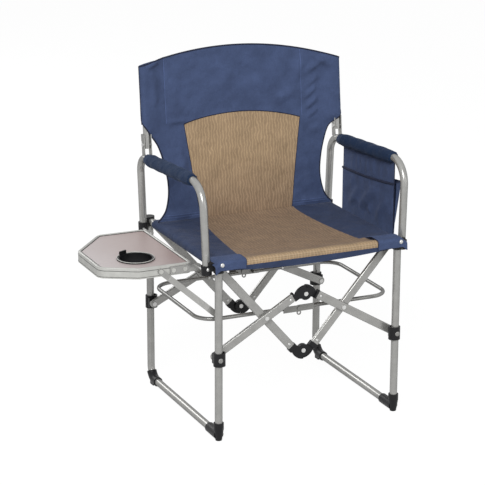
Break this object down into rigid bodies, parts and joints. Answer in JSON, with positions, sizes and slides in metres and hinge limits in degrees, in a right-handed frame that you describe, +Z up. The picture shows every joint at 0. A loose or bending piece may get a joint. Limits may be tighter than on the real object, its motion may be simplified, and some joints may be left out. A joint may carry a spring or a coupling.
{
  "type": "folding camp chair",
  "caption": "Folding camp chair with a scissor frame, cloth seat and back, padded arms, a side table with a cup hole and an arm pocket.",
  "frame": {"origin": "on the floor, midway between the four legs", "axes": "+X across the seat towards the pocket side, +Y from the front edge to the back, +Z up; the chair faces -Y"},
  "size_m": [0.799, 0.4696, 0.8842],
  "materials": {
    "steel_tube": "silver-grey powder coat, satin",
    "black_plastic": "moulded, satin",
    "bright_steel": "plain rivets and pins",
    "spreader_steel": "grey coat, satin",
    "navy_cloth": "woven polyester with tan mesh centres",
    "foam_sleeve": "stuffed woven sleeve",
    "table_board": "matt board, taupe",
    "table_edge": "satin rim"
  },
  "bodies": {
    "left_side": {"left_front_leg": "steel_tube", "left_rear_leg_rail": "steel_tube", "left_seat_rail": "steel_tube", "left_front_foot": "black_plastic", "left_rear_foot": "black_plastic", "left_arm_loop": "steel_tube", "left_arm_pad": "foam_sleeve", "left_knuckles": "black_plastic", "left_pins": "bright_steel", "seat_cloth": "navy_cloth", "back_lower_cloth": "navy_cloth"},
    "right_side": {"right_front_leg": "steel_tube", "right_rear_leg_rail": "steel_tube", "right_seat_rail": "steel_tube", "right_front_foot": "black_plastic", "right_rear_foot": "black_plastic", "right_arm_loop": "steel_tube", "right_arm_pad": "foam_sleeve", "right_knuckles": "black_plastic", "right_back_hinge_pin": "bright_steel", "arm_pocket": "navy_cloth"},
    "left_back": {"left_back_upright": "steel_tube", "back_upper_cloth": "navy_cloth"},
    "right_back": {"right_back_upright": "steel_tube"},
    "table": {"table_rim": "table_edge", "table_panel": "table_board", "table_hinge_bars": "steel_tube", "table_rivets": "bright_steel", "cup_ring": "black_plastic"},
    "strut": {"table_strut": "steel_tube"},
    "cup_bail": {"cup_bail": "black_plastic"},
    "left_spreader": {"left_spreader": "spreader_steel"},
    "right_spreader": {"right_spreader": "spreader_steel"},
    "front_left_long": {"front_left_long_bar": "steel_tube", "front_left_long_elbow": "black_plastic", "front_long_elbow_rivet": "bright_steel"},
    "front_left_short": {"front_left_short_bar": "steel_tube", "front_left_short_elbow": "black_plastic", "front_left_short_bar_pins": "bright_steel"},
    "front_left_slider": {"front_left_slider": "black_plastic"},
    "front_right_long": {"front_right_long_bar": "steel_tube", "front_right_long_elbow": "black_plastic"},
    "front_right_short": {"front_right_short_bar": "steel_tube", "front_right_short_elbow": "black_plastic", "front_right_short_bar_pins": "bright_steel"},
    "front_right_slider": {"front_right_slider": "black_plastic"},
    "rear_left_long": {"rear_left_long_bar": "steel_tube", "rear_left_long_elbow": "black_plastic", "rear_long_elbow_rivet": "bright_steel"},
    "rear_left_short": {"rear_left_short_bar": "steel_tube", "rear_left_short_elbow": "black_plastic", "rear_left_short_bar_pins": "bright_steel"},
    "rear_left_slider": {"rear_left_slider": "black_plastic"},
    "rear_right_long": {"rear_right_long_bar": "steel_tube", "rear_right_long_elbow": "black_plastic"},
    "rear_right_short": {"rear_right_short_bar": "steel_tube", "rear_right_short_elbow": "black_plastic", "rear_right_short_bar_pins": "bright_steel"},
    "rear_right_slider": {"rear_right_slider": "black_plastic"}
  },
  "joints": [
    {"name": "side_fold", "type": "hinge", "parent": "left_side", "child": "front_left_long", "pos_m": [-0.241, -0.1864, 0.441], "axis": [0, 1, 0], "range_deg": [0, 30.46], "deforming": ["seat_cloth", "back_upper_cloth", "back_lower_cloth"]},
    {"name": "front_bottom_elbow", "type": "hinge", "parent": "front_left_long", "child": "front_right_long", "pos_m": [0, -0.1864, 0.187], "axis": [0, 1, 0], "range_deg": [-60.92, 0]},
    {"name": "front_left_crossing", "type": "hinge", "parent": "front_left_long", "child": "front_left_short", "pos_m": [-0.105, -0.197, 0.288], "axis": [0, 1, 0], "range_deg": [-75.57, 0]},
    {"name": "front_left_slider_pin", "type": "hinge", "parent": "front_left_short", "child": "front_left_slider", "pos_m": [-0.241, -0.197, 0.2085], "axis": [0, 1, 0], "range_deg": [0, 45.11]},
    {"name": "front_right_crossing", "type": "hinge", "parent": "front_right_long", "child": "front_right_short", "pos_m": [0.105, -0.197, 0.288], "axis": [0, 1, 0], "range_deg": [0, 75.57]},
    {"name": "front_right_slider_pin", "type": "hinge", "parent": "front_right_short", "child": "front_right_slider", "pos_m": [0.241, -0.197, 0.2085], "axis": [0, 1, 0], "range_deg": [-45.11, 0]},
    {"name": "rear_left_long_turn", "type": "hinge", "parent": "left_side", "child": "rear_left_long", "pos_m": [-0.241, 0.1864, 0.441], "axis": [0, 1, 0], "range_deg": [0, 30.47]},
    {"name": "rear_bottom_elbow", "type": "hinge", "parent": "rear_left_long", "child": "rear_right_long", "pos_m": [0, 0.1864, 0.187], "axis": [0, 1, 0], "range_deg": [-60.92, 0]},
    {"name": "rear_left_crossing", "type": "hinge", "parent": "rear_left_long", "child": "rear_left_short", "pos_m": [-0.105, 0.197, 0.288], "axis": [0, 1, 0], "range_deg": [-79.36, 0]},
    {"name": "rear_left_slider_pin", "type": "hinge", "parent": "rear_left_short", "child": "rear_left_slider", "pos_m": [-0.241, 0.197, 0.222], "axis": [0, 1, 0], "range_deg": [0, 48.9]},
    {"name": "rear_right_crossing", "type": "hinge", "parent": "rear_right_long", "child": "rear_right_short", "pos_m": [0.105, 0.197, 0.288], "axis": [0, 1, 0], "range_deg": [0, 79.36]},
    {"name": "rear_right_slider_pin", "type": "hinge", "parent": "rear_right_short", "child": "rear_right_slider", "pos_m": [0.241, 0.197, 0.222], "axis": [0, 1, 0], "range_deg": [-48.9, 0]},
    {"name": "right_side_hang", "type": "hinge", "parent": "front_right_long", "child": "right_side", "pos_m": [0.241, -0.1864, 0.441], "axis": [0, 1, 0], "range_deg": [0, 30.47]},
    {"name": "left_spreader_turn", "type": "hinge", "parent": "front_left_long", "child": "left_spreader", "pos_m": [-0.105, -0.155, 0.288], "axis": [0, 1, 0], "range_deg": [-98.48, 0]},
    {"name": "right_spreader_turn", "type": "hinge", "parent": "front_right_long", "child": "right_spreader", "pos_m": [0.105, -0.155, 0.288], "axis": [0, 1, 0], "range_deg": [0, 98.48]},
    {"name": "back_fold", "type": "hinge", "parent": "left_side", "child": "left_back", "pos_m": [-0.267, 0.168, 0.654], "axis": [1, 0, 0], "range_deg": [0, 80]},
    {"name": "right_back_fold", "type": "hinge", "parent": "right_side", "child": "right_back", "pos_m": [0.267, 0.168, 0.654], "axis": [1, 0, 0], "range_deg": [0, 80.01]},
    {"name": "table_fold", "type": "hinge", "parent": "left_side", "child": "table", "pos_m": [-0.268, -0.157, 0.428], "axis": [0, -1, 0], "range_deg": [0, 65]},
    {"name": "strut_turn", "type": "hinge", "parent": "table", "child": "strut", "pos_m": [-0.364, -0.157, 0.428], "axis": [0, -1, 0], "range_deg": [-138.2, 0]},
    {"name": "cup_bail_swing", "type": "hinge", "parent": "table", "child": "cup_bail", "pos_m": [-0.394, -0.072, 0.412], "axis": [0, -1, 0], "range_deg": [0, 90]}
  ],
  "couplings": [
    {"joint": "front_bottom_elbow", "follows": "side_fold", "ratio": -2},
    {"joint": "front_left_crossing", "follows": "side_fold", "ratio": -2.4809},
    {"joint": "front_left_slider_pin", "follows": "side_fold", "ratio": 1.4809},
    {"joint": "front_right_crossing", "follows": "side_fold", "ratio": 2.4809},
    {"joint": "front_right_slider_pin", "follows": "side_fold", "ratio": -1.4809},
    {"joint": "rear_left_long_turn", "follows": "side_fold", "ratio": 1},
    {"joint": "rear_bottom_elbow", "follows": "side_fold", "ratio": -2},
    {"joint": "rear_left_crossing", "follows": "side_fold", "ratio": -2.6054},
    {"joint": "rear_left_slider_pin", "follows": "side_fold", "ratio": 1.6054},
    {"joint": "rear_right_crossing", "follows": "side_fold", "ratio": 2.6054},
    {"joint": "rear_right_slider_pin", "follows": "side_fold", "ratio": -1.6054},
    {"joint": "right_side_hang", "follows": "side_fold", "ratio": 1},
    {"joint": "left_spreader_turn", "follows": "side_fold", "ratio": -3.233},
    {"joint": "right_spreader_turn", "follows": "side_fold", "ratio": 3.233},
    {"joint": "right_back_fold", "follows": "back_fold", "ratio": 1},
    {"joint": "strut_turn", "follows": "table_fold", "ratio": -2.1261}
  ]
}
